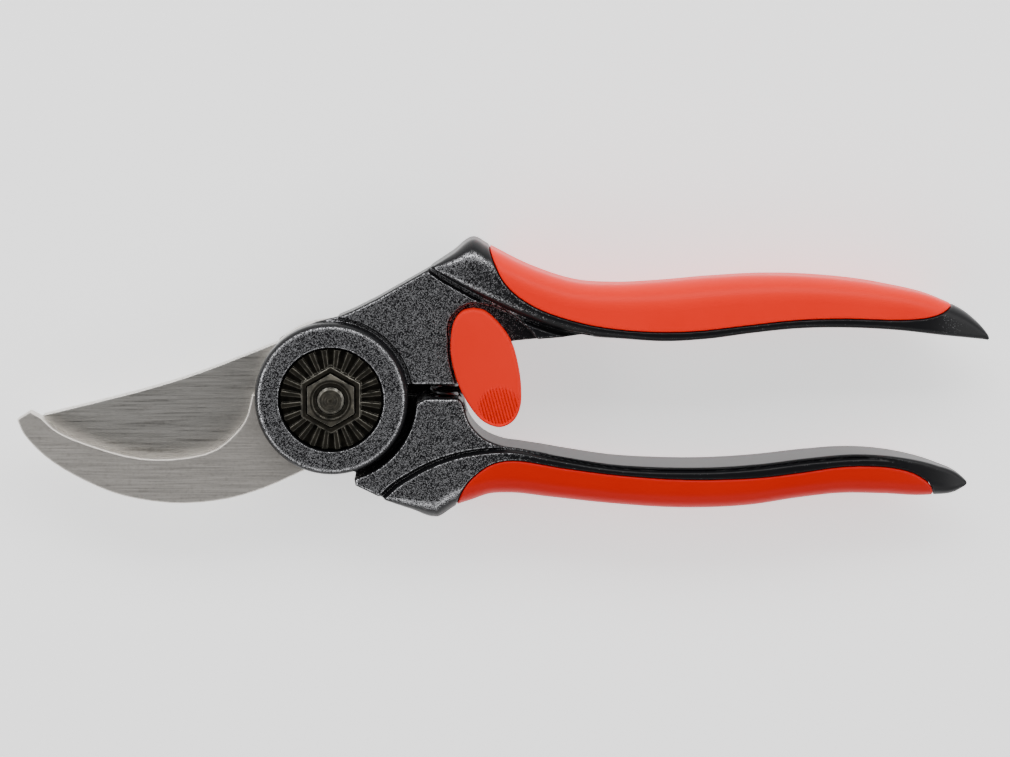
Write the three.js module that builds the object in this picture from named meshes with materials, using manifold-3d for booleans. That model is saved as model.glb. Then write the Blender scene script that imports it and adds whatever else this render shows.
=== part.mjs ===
// Bypass pruning shears, lying flat and closed. Millimetres, +Z up.
// The origin is on the pivot axis, at the flat back face of the pivot bolt's head.
// +X runs towards the ends of the handles, -X towards the tip, +Z out of the nut side.
import * as THREE from 'three';
import { ParametricGeometry } from 'three/addons/geometries/ParametricGeometry.js';
import { mergeVertices } from 'three/addons/utils/BufferGeometryUtils.js';
import Module from 'manifold-3d';

const wasm = await Module();
wasm.setup();

// ---- Driving dimensions ----

const SHEAR = 10.2; // height of the plane where hook and cutting blade slide past each other
const GAP = 0.3; // clearance left between pieces that touch on the real tool
const ARM = 6; // half depth of the forged arms, above and below the shear plane

const HUB_R = 16.2; // round ends of the two blades
const LOWER_HUB_R = 15.6; // round end of the lower arm, behind the cutting blade
const HUB_TOP = SHEAR - 3.4;
const HUB_BOTTOM = SHEAR - 6.5;
const BLADE_TOP = SHEAR - 0.15;
const BLADE_BOTTOM = SHEAR - 3.2;
const HOOK_BOTTOM = SHEAR + 0.15;
const HOOK_TOP = SHEAR + 3.4;
const BOSS_R = 16.4; // round boss of the upper arm, over the hook
const BOSS_BOTTOM = SHEAR + 3.6;
const BOSS_TOP = SHEAR + 8;
const DIAL_WELL_R = 11.2;
const DIAL_WELL_FLOOR = SHEAR + 5;

const BOLT_HEAD_R = 7.5;
const BOLT_HEAD_TOP = SHEAR - 7.5;
const BOLT_SHANK_R = 4;
const BOLT_THREAD_R = 3;
const BOLT_END = SHEAR + 9.5;
const BUSH_R = 5.5;

const DIAL_R = 10.9;
const DIAL_TEETH = 24;
const NUT_ACROSS_FLATS = 10;
const NUT_TOP = SHEAR + 9.2;

const PIVOT_GROOVE_R = 17.4; // inner end of the upper arm's flat face
const LOWER_FACE_R = 18.1; // inner end of the lower arm's full depth

const GRIP_WALL = 2.6; // thickness of the plastic grips over the arms' cores

const LATCH_PIN = [30.8, 13.5];
const LATCH_FLOOR = SHEAR + 4.5; // floor of the shallow pocket the latch swings in
const LATCH_BOTTOM = LATCH_FLOOR + 0.2;
const LATCH_TOP = SHEAR + 7.8;
const LATCH_SWING = 28; // degrees
const LATCH_PIN_R = 1.6;

const SPRING_X = 24;
const SPRING_Z = SHEAR - 0.4;
const SPRING_R = 3.1; // outer radius of the coil
const SPRING_WIRE_R = 0.55;
const SPRING_TURNS = 9;
const SPRING_FOOT = -7.2; // Y of the two ends, each at the bottom of a blind pocket
const SPRING_HEAD = 13.6;

const SCREW_R = 1.7;
const SCREW_HEAD_R = 2.6;

// ---- Outlines in the XY plane, as lists of points ----

const points = (...pairs) => pairs.map(([x, y]) => new THREE.Vector2(x, y));

// A smooth run through a few points, divided into short straight pieces.
const smooth = (pieces, ...pairs) => new THREE.SplineCurve(points(...pairs)).getPoints(pieces);

// A round run about the pivot, between two angles in degrees.
function arc(radius, from, to, pieces) {
  return Array.from({ length: pieces + 1 }, (_, i) => {
    const angle = THREE.MathUtils.degToRad(from + ((to - from) * i) / pieces);
    return new THREE.Vector2(radius * Math.cos(angle), radius * Math.sin(angle));
  });
}

// The same line moved sideways, to its left as it runs.
function beside(line, distance) {
  return line.map((point, i) => {
    const before = line[Math.max(i - 1, 0)];
    const after = line[Math.min(i + 1, line.length - 1)];
    const along = after.clone().sub(before).normalize();
    return new THREE.Vector2(point.x - along.y * distance, point.y + along.x * distance);
  });
}

// A height that varies smoothly along X, through pairs of (x, value).
function along(...pairs) {
  const xs = pairs.map((pair) => pair[0]);
  const values = pairs.map((pair) => pair[1]);
  const curve = new THREE.CubicInterpolant(xs, values, 1, [0]);
  return (x) => curve.evaluate(x)[0];
}

// ---- Solids ----

// A closed geometry as a solid that can be joined and cut.
function solid(geometry) {
  const bare = geometry.clone();
  bare.deleteAttribute('normal');
  bare.deleteAttribute('uv');
  const merged = mergeVertices(bare, 1e-4);
  const index = merged.index.array;
  const triangles = [];
  for (let i = 0; i < index.length; i += 3) {
    const [a, b, c] = index.slice(i, i + 3);
    if (a !== b && b !== c && c !== a) triangles.push(a, b, c);
  }
  return new wasm.Manifold(
    new wasm.Mesh({
      numProp: 3,
      vertProperties: merged.attributes.position.array,
      triVerts: new Uint32Array(triangles),
    }),
  );
}

const join = (...solids) => solids.reduce((whole, next) => whole.add(next));
const cut = (whole, ...tools) => tools.reduce((left, tool) => left.subtract(tool), whole);

// An outline given a thickness between two heights.
function slab(outline, bottom, top) {
  const shape = new THREE.Shape(outline);
  const geometry = new THREE.ExtrudeGeometry(shape, { depth: top - bottom, bevelEnabled: false });
  return solid(geometry.translate(0, 0, bottom));
}

// A straight round bar along Z.
function rod(radius, bottom, top, [x, y] = [0, 0], sides = 32) {
  const geometry = new THREE.CylinderGeometry(radius, radius, top - bottom, sides);
  return solid(geometry.rotateX(Math.PI / 2).translate(x, y, (bottom + top) / 2));
}

// A turned piece about Z, from a profile of (radius, height) pairs that closes on itself.
function turned(profile, [x, y] = [0, 0], sides = 32) {
  const closed = profile[0][0] === 0 ? profile : [...profile, profile[0]];
  const geometry = new THREE.LatheGeometry(points(...closed), sides);
  return solid(geometry.rotateX(Math.PI / 2).translate(x, y, 0));
}

const ring = (inner, outer, bottom, top, place, sides) =>
  turned([[inner, bottom], [outer, bottom], [outer, top], [inner, top]], place, sides);

// A skin through cross sections at stations along X, closed at its two ends.
function loft(stations, around, section) {
  const rows = stations.length + 1;
  const skin = (u, v, target) => {
    const row = Math.round(v * rows) - 1;
    const station = THREE.MathUtils.clamp(row, 0, stations.length - 1);
    const [y, z] = section(stations[station], ((1 - u) % 1) * 2 * Math.PI, row === station ? 1 : 0);
    target.set(stations[station], y, z);
  };
  return solid(new ParametricGeometry(skin, around, rows));
}

// ---- Handles: a rounded outer side, a flat inner face and a tapering end ----

const UPPER = {
  outward: 1,
  outer: along([21, 28], [26, 31], [30.6, 33.9], [33.4, 32.4], [36, 31], [40, 28.9], [45, 26.8],
    [52, 24.7], [60, 24.1], [70, 24.6], [80, 25.5], [92, 26.1], [104, 25.7], [118, 23.9],
    [130, 20.8], [137, 17], [140, 14], [141, 12.6]),
  inner: along([21, 27.6], [24, 26.1], [30, 22.8], [40, 17.9], [48, 14.9], [55, 13.4], [62, 12.9],
    [71, 12.4], [80, 12.9], [90, 14.2], [99, 15.1], [109, 15.3], [120, 14.7], [132, 13.1],
    [141, 11.8]),
  depth: along([21, 5.8], [30, 7.4], [40, 7.6], [60, 7.4], [80, 7.4], [100, 7.3], [118, 6.6],
    [130, 4.8], [137, 2.6], [141, 1.2]),
  stations: [21.2, 23.5, 26, 28.3, 30.6, 33.4, 36, 40, 45, 50, 55, 61, 68, 76, 85, 94, 103, 112,
    120, 126, 131, 135, 138, 140, 141],
  core: [31, 36, 41, 48, 56, 66, 78, 90, 103, 116, 126, 131.5],
  seam: smooth(34, [33.3, 36], [33.6, 32.4], [35, 28.5], [37.2, 24.6], [41, 21.2], [47, 18.2], [56, 15.7],
    [66, 14.5], [77, 14.5], [88, 15.7], [99, 16.9], [110, 17.2], [121, 16.8], [128, 17.3],
    [132.5, 19.3], [136, 23]),
};

const LOWER = {
  outward: -1,
  outer: along([11, -22], [16, -24.1], [22.9, -26.5], [26.5, -24], [30, -22.7], [33.5, -21.4],
    [38, -21.1], [46, -21.9], [60, -23.3], [75, -24.2], [90, -23.6], [100, -22.1], [109, -21.2],
    [118, -21.4], [129, -21.9], [135, -20.9], [136.9, -19.6]),
  inner: along([11, -20.4], [15, -17.4], [20, -14.8], [27, -12.3], [35, -11.2], [42, -11.4],
    [50, -12.7], [60, -14.2], [70, -14.8], [82, -14.8], [92, -14.1], [102, -12.9], [112, -12.2],
    [121, -12.9], [130, -15.1], [135, -17.3], [136.9, -19]),
  depth: along([11, 6], [25, 6.4], [45, 6.8], [75, 7.2], [95, 7], [110, 6.2], [125, 4.4],
    [133, 2.4], [136.9, 1]),
  stations: [11.2, 14, 18, 20.6, 22.9, 25, 27.5, 31, 35, 40, 46, 53, 61, 70, 80, 90, 98, 106, 114,
    121, 127, 131.5, 134.5, 136.2, 136.9],
  core: [27.5, 32, 38, 46, 56, 68, 80, 92, 104, 114, 122, 127],
  seam: smooth(34, [26.2, -28], [26.6, -23.8], [27.9, -20.1], [30.4, -16.9], [34.5, -14.1],
    [40, -13.4], [50, -15], [62, -16.5], [76, -17.4], [90, -17.1], [100, -16], [109, -14.8],
    [117, -14.8], [123, -15.8], [127, -17.7], [129.2, -20.2], [129.8, -25]),
};

// A superellipse ring, rounder on the outside of the handle and squarer on its inner face.
function handleSection(handle, shrink, innerShift) {
  const { outward, outer, inner, depth } = handle;
  const power = (value, n) => Math.sign(value) * Math.abs(value) ** (2 / n);
  return (x, angle, spread) => {
    const outerY = outer(x) - outward * shrink;
    const innerY = inner(x) + outward * innerShift;
    const reach = power(Math.sin(angle), Math.sin(angle) * outward > 0 ? 2.4 : 6);
    const middle = (outerY + innerY) / 2;
    const width = power(Math.cos(angle), 2.8) * (depth(x) - shrink);
    const halfHeight = Math.max(Math.abs(outerY - innerY) / 2, 0.2);
    return [middle + spread * reach * halfHeight, SHEAR + spread * width];
  };
}

const AROUND = 20;
const CORE_SHIFT = 0.8; // how far the core stays inside the handle's inner face

function handleBody(handle) {
  return loft(handle.stations, AROUND, handleSection(handle, 0, 0));
}

function handleCore(handle, growth) {
  const section = handleSection(handle, GRIP_WALL - growth, CORE_SHIFT - growth);
  const [first, ...rest] = handle.core;
  const stations = [first - growth, ...rest.slice(0, -1), rest.at(-1) + growth];
  return loft(stations, 12, section);
}

// Everything on the outer side of the seam between the metal rail and the plastic grip.
function gripSide(handle, setback) {
  const line = beside(handle.seam, handle.outward * setback);
  const far = handle.outward * 50;
  const closing = points([handle.seam.at(-1).x, far], [handle.seam[0].x, far]);
  return slab([...line, ...closing], 0, 30);
}

// The metal of a handle and its arm: all of it up to the seam, and only the core inside the grip.
const forging = (handle, ...armSlabs) =>
  join(cut(join(handleBody(handle), ...armSlabs), gripSide(handle, 0)), handleCore(handle, 0));
const handleGrip = (handle) =>
  cut(handleBody(handle).intersect(gripSide(handle, GAP)), handleCore(handle, GAP));

// ---- Thumb latch ----

const LATCH_OUTLINE = smooth(40, [30.4, 19.5], [27.9, 18.8], [26.1, 16.2], [25.5, 12], [25.8, 8],
  [27.2, 3], [29.6, -1.6], [32.4, -4.8], [35.9, -6.1], [38.8, -4.8], [40.3, -2], [40.6, 1.5],
  [40.1, 6.4], [38.6, 12], [36, 16], [33, 18.8], [30.4, 19.5]).slice(1);

// The top and the free side of the pocket are wider than the latch sweeps.
const LATCH_POCKET = smooth(24, [25.2, 12], [26.2, 17.9], [28.8, 20.3], [31.4, 20.6], [35, 19.7],
  [38.5, 18], [41.2, 16], [43.7, 13.2], [45.5, 10]);
const LATCH_NOSE = points([30.6, -3.1], [34.6, -3.1], [34.6, -0.7], [29.6, -0.7], [29.9, -1.7]);

function turnedAboutPin(outline, degrees) {
  const pin = new THREE.Vector2(...LATCH_PIN);
  const angle = THREE.MathUtils.degToRad(degrees);
  return outline.map((point) => point.clone().rotateAround(pin, angle));
}

// The room that the latch needs in the arm, from locked to fully swung.
function latchSweep(outline, bottom, top) {
  const roomy = beside(outline, -0.5);
  const steps = [0, 7, 14, 21, LATCH_SWING];
  return join(...steps.map((degrees) => slab(turnedAboutPin(roomy, degrees), bottom, top)));
}

function thumbLatch() {
  const plate = slab(LATCH_OUTLINE, LATCH_BOTTOM, LATCH_TOP);
  const nose = slab(LATCH_NOSE, SHEAR + 1.4, LATCH_BOTTOM + 0.5);
  const pinHole = rod(LATCH_PIN_R + GAP, LATCH_BOTTOM - 1, LATCH_TOP - 1, LATCH_PIN, 20);
  const washerRoom = rod(4, LATCH_BOTTOM - 1, LATCH_BOTTOM + 0.7, LATCH_PIN, 24);
  return cut(join(plate, nose), pinHole, washerRoom);
}

const latchPin = () => rod(LATCH_PIN_R, SHEAR - 3, LATCH_TOP - 1.4, LATCH_PIN, 20);
const latchWasher = () =>
  ring(LATCH_PIN_R + GAP, 3.6, LATCH_FLOOR + 0.05, LATCH_FLOOR + 0.65, LATCH_PIN, 24);

// ---- Opening spring and its two blind pockets ----

class Coil extends THREE.Curve {
  getPoint(t, target = new THREE.Vector3()) {
    const angle = t * SPRING_TURNS * 2 * Math.PI;
    const middle = SPRING_R - SPRING_WIRE_R;
    const y = THREE.MathUtils.lerp(SPRING_FOOT + SPRING_WIRE_R, SPRING_HEAD - SPRING_WIRE_R, t);
    return target.set(SPRING_X + middle * Math.cos(angle), y, SPRING_Z + middle * Math.sin(angle));
  }
}

function openingSpring() {
  const wire = new THREE.Shape().absarc(0, 0, SPRING_WIRE_R, 0, 2 * Math.PI);
  const sweep = { extrudePath: new Coil(), steps: SPRING_TURNS * 12, curveSegments: 3 };
  return solid(new THREE.ExtrudeGeometry(wire, sweep));
}

function springPocket(from, to) {
  const geometry = new THREE.CylinderGeometry(SPRING_R + GAP + 0.1, SPRING_R + GAP + 0.1, to - from, 24);
  return solid(geometry.translate(SPRING_X, (from + to) / 2, SPRING_Z));
}

// ---- Upper arm, which carries the hook ----

const UPPER_ARM = [
  ...points([0, 0], [16.6, 2.9], [28.3, 2.9], [30.6, 8.6], [35, 11.4], [39, 12.2]),
  ...smooth(4, [44, 12.7], [50, 13.2], [56, 14]),
  ...points([57, 21], [40, 26], [33.2, 31], [30.4, 33.4], [19.9, 27.2], [9.9, 21.5], [4.9, 19],
    [1.4, 17.5], [-3, 16.4], [-6, 15.2]),
];

// Behind the arm's face only the part clear of the lower hub is full depth.
const UPPER_BACKING = points([19.2, 3.2], [28.1, 3.2], [30.4, 8.8], [35, 11.6], [39, 12.4],
  [56, 14.2], [57, 21], [40, 26], [31, 31], [25, 27.3], [20, 23], [19, 20]);

const HOOK_SCREWS = [[10.8, 17.6], [15.2, 13.2]];
const HOOK_TONGUE = points([0, 0], [13, 9], [16.2, 9.8], [18.2, 12], [18.2, 16.5], [15.4, 20.2],
  [11, 21.1], [5, 18.2], [2, 16.6]);
const HOOK_TONGUE_ROOM = points([0, 0], [13, 8.6], [16.4, 9.4], [18.6, 11.8], [18.6, 16.7],
  [15.7, 20.6], [11, 21.5], [4.8, 18.6], [1.4, 17]);

function boss() {
  const rim = BOSS_R - 1.2; // where the flat top rolls over into the leaning wall
  return turned([[0, BOSS_BOTTOM], [BOSS_R, BOSS_BOTTOM], [BOSS_R - 0.3, BOSS_TOP - 2],
    [rim, BOSS_TOP - 0.6], [rim - 0.7, BOSS_TOP], [DIAL_WELL_R, BOSS_TOP],
    [DIAL_WELL_R, DIAL_WELL_FLOOR], [0, DIAL_WELL_FLOOR]], [0, 0], 48);
}

function upperFrame() {
  const face = slab(UPPER_ARM, HOOK_BOTTOM, SHEAR + ARM);
  const backing = slab(UPPER_BACKING, SHEAR - ARM, SHEAR + 1);
  const hookRoom = join(
    rod(PIVOT_GROOVE_R, 0, BOSS_BOTTOM, [0, 0], 48),
    slab(HOOK_TONGUE_ROOM, HOOK_BOTTOM - 1, BOSS_BOTTOM),
  );
  const groove = rod(PIVOT_GROOVE_R, DIAL_WELL_FLOOR, 30, [0, 0], 48);
  const arm = cut(forging(UPPER, face, backing), hookRoom, groove);
  const screwHoles = HOOK_SCREWS.map((place) => rod(SCREW_R + GAP, 0, SHEAR + 5.2, place, 16));
  return cut(
    join(arm, boss()),
    rod(BOLT_THREAD_R + GAP, 0, 30, [0, 0], 24),
    ...screwHoles,
    latchSweep(LATCH_OUTLINE, LATCH_FLOOR, 30),
    slab(LATCH_POCKET, LATCH_FLOOR, 30),
    latchSweep(LATCH_NOSE, SHEAR + 0.8, 30),
    rod(LATCH_PIN_R + GAP, SHEAR - 3 - GAP, 30, LATCH_PIN, 20),
    springPocket(0, SPRING_HEAD + GAP),
  );
}

// ---- Hook and cutting blade ----

const HOOK_OUTLINE = [
  ...points([-64.8, -3.2]),
  ...smooth(26, [-67.6, -5], [-66, -8.6], [-61, -13.7], [-53.5, -18.3], [-45, -21.7],
    [-34.4, -23.3], [-24, -22.6], [-15, -20.1], [-5.6, -15.9]),
  ...arc(HUB_R, 289, 355, 12),
  ...arc(HUB_R, 0, 174, 30),
  ...smooth(20, [-17.1, 0.5], [-18.4, -4.6], [-21.1, -8.3], [-26, -12], [-34.3, -13.6],
    [-43, -13.2], [-52.9, -10.3], [-59, -7.6], [-62.5, -4.5]),
];

function hookBlade() {
  const plate = join(
    slab(HOOK_OUTLINE, HOOK_BOTTOM, HOOK_TOP),
    slab(HOOK_TONGUE, HOOK_BOTTOM, HOOK_TOP),
  );
  const screwHoles = HOOK_SCREWS.map((place) => rod(SCREW_R + GAP, 0, 30, place, 16));
  const sinks = HOOK_SCREWS.map((place) => rod(SCREW_HEAD_R + GAP, 0, HOOK_BOTTOM + 1.4, place, 20));
  return cut(plate, rod(BUSH_R + GAP, 0, 30), ...screwHoles, ...sinks);
}

const SPINE = along([-62.6, -4.6], [-50, -1.5], [-40, 1.1], [-30, 4.2], [-20, 8], [-11.5, 11.4]);
const CUTTING_EDGE = along([-62.6, -5.4], [-55, -12], [-45, -15.6], [-35, -16.4], [-25, -14.9],
  [-11.5, -11.4]);
const BEVEL = 4.5; // width of the ground bevel on the back of the blade

// The blade tapers to an edge 0.3 mm thick at the shear face, and is ground on its back.
function cuttingEdgePlate() {
  const stations = [-62.6, -60, -55, -50, -45, -40, -35, -30, -25, -20, -16, -11.5];
  const corners = (x) => {
    const [spine, edge] = [SPINE(x), CUTTING_EDGE(x)];
    const bevel = Math.min(BEVEL, (spine - edge) * 0.5);
    return [[spine, BLADE_TOP], [spine, BLADE_BOTTOM], [edge + bevel, BLADE_BOTTOM],
      [edge, BLADE_TOP - GAP], [edge, BLADE_TOP]];
  };
  return loft(stations, 5, (x, angle, spread) => {
    const ringPoints = corners(x);
    if (spread === 0) return [(SPINE(x) + CUTTING_EDGE(x)) / 2, BLADE_TOP - 1];
    return ringPoints[Math.round((angle / (2 * Math.PI)) * 5) % 5];
  });
}

const BLADE_SCREWS = [[9.6, -9.6], [-9.6, 9.6]];

function cuttingBlade() {
  const tang = rod(HUB_R, BLADE_BOTTOM, BLADE_TOP, [0, 0], 48);
  const holes = BLADE_SCREWS.map((place) => rod(SCREW_R + GAP, 0, BLADE_TOP - 0.5, place, 16));
  return cut(join(cuttingEdgePlate(), tang), rod(BUSH_R + GAP, 0, 30), ...holes);
}

// A countersunk screw driven from the back.
function screw([x, y], head, headDepth, end) {
  return turned([[0, head], [SCREW_HEAD_R, head], [SCREW_HEAD_R, head + headDepth * 0.5],
    [SCREW_R, head + headDepth], [SCREW_R, end], [0, end]], [x, y], 20);
}

// ---- Lower arm, which carries the cutting blade ----

const LOWER_ARM = [
  ...points([0, 0], [1.4, -16.4], [4.8, -17.9], [5, -19], [9.9, -21.4], [16, -24],
    [22.6, -26.2], [26.4, -23.7], [32, -21.8], [44, -21], [46, -12.2]),
  ...smooth(9, [40, -10.9], [36.4, -10.3], [32.4, -8.5], [29.5, -5.2], [28.2, -1]),
  ...points([27.2, 0], [20, 0], [18.7, -0.8]),
];
const LOWER_LIP = points([14, -7], [15.2, 2.9], [28, 2.9], [28.2, -2]);
const CATCH_NOTCH = points([26, -3.5], [31, -3.5], [31, -1.3], [26, -1.3]); // for the latch's nose

function lowerFrame() {
  const arm = slab(LOWER_ARM, SHEAR - ARM, SHEAR + ARM);
  const lip = slab(LOWER_LIP, SHEAR - ARM, SHEAR - 4.6);
  const bladeRoom = rod(LOWER_FACE_R, HUB_TOP, 30, [0, 0], 48);
  const hub = rod(LOWER_HUB_R, HUB_BOTTOM, HUB_TOP, [0, 0], 48);
  const holes = BLADE_SCREWS.map((place) => rod(SCREW_R + GAP, 0, 30, place, 16));
  const sinks = BLADE_SCREWS.map((place) => rod(SCREW_HEAD_R + GAP, 0, HUB_BOTTOM + 1.8, place, 20));
  return cut(
    join(cut(forging(LOWER, arm, lip), bladeRoom), hub),
    rod(BUSH_R + GAP, 0, 30),
    ...holes,
    ...sinks,
    springPocket(SPRING_FOOT - GAP, 5),
    slab(CATCH_NOTCH, SHEAR + 1, SHEAR + 4.2),
  );
}

// ---- Pivot and tension adjuster ----

const pivotBolt = () =>
  turned([[0, 0], [BOLT_HEAD_R - 0.5, 0], [BOLT_HEAD_R, 0.5], [BOLT_HEAD_R, BOLT_HEAD_TOP],
    [BOLT_SHANK_R, BOLT_HEAD_TOP], [BOLT_SHANK_R, BOSS_BOTTOM - 0.2],
    [BOLT_THREAD_R - 0.1, BOSS_BOTTOM - 0.2], [BOLT_THREAD_R - 0.1, BOLT_END - 0.4],
    [BOLT_THREAD_R - 0.5, BOLT_END], [0, BOLT_END]]);

const pivotBush = () => ring(BOLT_SHANK_R + 0.2, BUSH_R, HUB_BOTTOM, HOOK_TOP);
const backWasher = () => ring(BOLT_SHANK_R + 0.3, 8.2, BOLT_HEAD_TOP + 0.1, HUB_BOTTOM - 0.1);
const dialWasher = () => ring(BOLT_THREAD_R + GAP, 9, DIAL_WELL_FLOOR + 0.05, DIAL_WELL_FLOOR + 0.45);

// A hexagon with one corner towards +Y.
function hexagon(acrossFlats) {
  const corner = acrossFlats / Math.sqrt(3);
  return arc(corner, 30, 330, 5);
}

const DIAL_BOTTOM = DIAL_WELL_FLOOR + 0.55;
const DIAL_PLATE_TOP = SHEAR + 6.3;
const TOOTH_TOP = SHEAR + 7.5;
const COLLAR_TOP = SHEAR + 8.3;

function tensionDial() {
  const plate = rod(DIAL_R, DIAL_BOTTOM, DIAL_PLATE_TOP, [0, 0], 48);
  const collar = slab(hexagon(NUT_ACROSS_FLATS + 2.6), DIAL_BOTTOM, COLLAR_TOP);
  const tooth = points([6, -0.5], [DIAL_R - 0.1, -0.75], [DIAL_R - 0.1, 0.75], [6, 0.5]);
  const teeth = Array.from({ length: DIAL_TEETH }, (_, i) => {
    const angle = ((i + 0.5) / DIAL_TEETH) * 2 * Math.PI;
    const outline = tooth.map((point) => point.clone().rotateAround(new THREE.Vector2(), angle));
    return slab(outline, DIAL_BOTTOM, TOOTH_TOP);
  });
  const socket = slab(hexagon(NUT_ACROSS_FLATS + 2 * GAP), DIAL_PLATE_TOP, 30);
  return cut(join(plate, collar, ...teeth), socket, rod(BOLT_THREAD_R + GAP, 0, 30, [0, 0], 24));
}

function lockNut() {
  const body = slab(hexagon(NUT_ACROSS_FLATS), DIAL_PLATE_TOP + 0.1, NUT_TOP);
  const chamfer = turned([[0, 0], [9, 0], [9, NUT_TOP - 1.9], [4.4, NUT_TOP], [0, NUT_TOP]]);
  return cut(body.intersect(chamfer), rod(BOLT_THREAD_R + 0.1, 0, 30, [0, 0], 24));
}

// ---- Materials ----

const finish = (color, roughness, metalness) =>
  new THREE.MeshStandardMaterial({ color, roughness, metalness });

const MATERIALS = {
  powderCoat: finish(0x26262a, 0.5, 0.2),
  upperGrip: finish(0xf4492c, 0.4, 0),
  lowerGrip: finish(0xd0301c, 0.4, 0),
  latchPlastic: finish(0xe5482f, 0.5, 0),
  hookSteel: finish(0x9f9a95, 0.35, 1),
  bladeSteel: finish(0x7e7b77, 0.4, 1),
  blackenedSteel: finish(0x2b2823, 0.4, 0.9),
  springSteel: finish(0x77797c, 0.35, 1),
  bearingBronze: finish(0x9c7a45, 0.45, 1),
};

// ---- Assembly ----

function piece(name, body, material) {
  const mesh = body.getMesh();
  const geometry = new THREE.BufferGeometry();
  geometry.setAttribute('position', new THREE.BufferAttribute(mesh.vertProperties, 3));
  geometry.setIndex(new THREE.BufferAttribute(mesh.triVerts, 1));
  geometry.computeVertexNormals();
  const node = new THREE.Mesh(geometry, material);
  node.name = name;
  return node;
}

const hookScrewBottom = HOOK_BOTTOM + 0.1;

const upperHandle = new THREE.Group().add(
  piece('upper_frame', upperFrame(), MATERIALS.powderCoat),
  piece('upper_grip', handleGrip(UPPER), MATERIALS.upperGrip),
  piece('hook_blade', hookBlade(), MATERIALS.hookSteel),
  ...HOOK_SCREWS.map((place, i) =>
    piece(`hook_screw_${i + 1}`, screw(place, hookScrewBottom, 1.2, SHEAR + 5), MATERIALS.blackenedSteel),
  ),
  piece('pivot_bolt', pivotBolt(), MATERIALS.blackenedSteel),
  piece('pivot_bush', pivotBush(), MATERIALS.bearingBronze),
  piece('back_washer', backWasher(), MATERIALS.springSteel),
  piece('latch_pin', latchPin(), MATERIALS.springSteel),
  piece('latch_washer', latchWasher(), MATERIALS.springSteel),
  piece('opening_spring', openingSpring(), MATERIALS.springSteel),
);

const adjuster = new THREE.Group().add(
  piece('dial_washer', dialWasher(), MATERIALS.springSteel),
  piece('tension_dial', tensionDial(), MATERIALS.blackenedSteel),
  piece('lock_nut', lockNut(), MATERIALS.blackenedSteel),
);

const latch = new THREE.Group().add(piece('thumb_latch', thumbLatch(), MATERIALS.latchPlastic));

const lowerHandle = new THREE.Group().add(
  piece('lower_frame', lowerFrame(), MATERIALS.powderCoat),
  piece('lower_grip', handleGrip(LOWER), MATERIALS.lowerGrip),
  piece('cutting_blade', cuttingBlade(), MATERIALS.bladeSteel),
  ...BLADE_SCREWS.map((place, i) =>
    piece(`blade_screw_${i + 1}`, screw(place, HUB_BOTTOM, 1.5, BLADE_TOP - 0.8), MATERIALS.blackenedSteel),
  ),
);

export default new THREE.Group().add(upperHandle, adjuster, latch, lowerHandle);
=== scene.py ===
# %% [markdown]
# # Bypass pruning shears
#
# The shears lie flat and closed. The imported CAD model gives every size, place and
# joint; this file gives it its real surface. Forged, cast and moulded pieces are
# shaped as distance fields and skinned, so that their edges are as soft as the real
# ones. The bolt is a turned profile, and the spring is a wire swept along a helix.

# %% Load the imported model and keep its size
import math

import bmesh
import bpy
import numpy as np
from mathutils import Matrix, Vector


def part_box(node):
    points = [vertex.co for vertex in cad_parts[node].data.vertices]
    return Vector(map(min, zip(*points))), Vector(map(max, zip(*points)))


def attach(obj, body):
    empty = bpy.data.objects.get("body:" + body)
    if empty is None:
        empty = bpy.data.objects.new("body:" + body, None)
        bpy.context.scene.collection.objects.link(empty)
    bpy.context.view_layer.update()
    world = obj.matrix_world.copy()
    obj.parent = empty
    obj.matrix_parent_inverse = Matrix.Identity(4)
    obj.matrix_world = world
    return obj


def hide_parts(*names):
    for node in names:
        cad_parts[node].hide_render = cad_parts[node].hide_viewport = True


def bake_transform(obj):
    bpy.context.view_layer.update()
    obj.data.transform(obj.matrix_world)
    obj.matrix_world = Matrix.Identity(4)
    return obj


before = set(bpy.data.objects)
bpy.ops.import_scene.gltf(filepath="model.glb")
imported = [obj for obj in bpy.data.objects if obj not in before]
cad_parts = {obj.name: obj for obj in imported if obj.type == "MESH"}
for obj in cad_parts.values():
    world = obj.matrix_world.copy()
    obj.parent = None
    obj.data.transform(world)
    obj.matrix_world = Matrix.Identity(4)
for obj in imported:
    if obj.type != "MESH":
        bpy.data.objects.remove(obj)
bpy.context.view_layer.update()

# %% [markdown]
# ## Heights and radii
#
# The two blades slide past each other on the shear plane. Every height through the
# tool follows from the boxes of the CAD pieces, in millimetres, because garden tools
# are drawn in millimetres. A mesh is turned into metres only when it is made. `BELOW`
# and `ABOVE` lie past the tool's lowest and highest point, for cuts that go through.

# %% Read the heights from the CAD pieces
MM = 1000.0


def low(node):
    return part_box(node)[0] * MM


def high(node):
    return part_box(node)[1] * MM


SHEAR = (low("hook_blade").z + high("cutting_blade").z) / 2
HOOK_BOTTOM, HOOK_TOP = low("hook_blade").z, high("hook_blade").z
BLADE_BOTTOM, BLADE_TOP = low("cutting_blade").z, high("cutting_blade").z
HUB_BOTTOM = high("back_washer").z + 0.1
HUB_TOP = BLADE_BOTTOM - 0.2
HUB_R = 16.2
LOWER_HUB_R = 15.6
ARM = 6.0
BOSS_R = 16.4
BOSS_BOTTOM = HOOK_TOP + 0.2
BOSS_TOP = SHEAR + 8
WELL_R = 11.2
WELL_FLOOR = low("dial_washer").z - 0.05
BUSH_R = high("pivot_bush").x
BOLT_R = 3.3
FACE_GROOVE_R = 17.4
BELOW, ABOVE = -5, 40
print("shear plane at", round(SHEAR, 2), "mm; boss top at", round(BOSS_TOP, 2), "mm")

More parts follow.
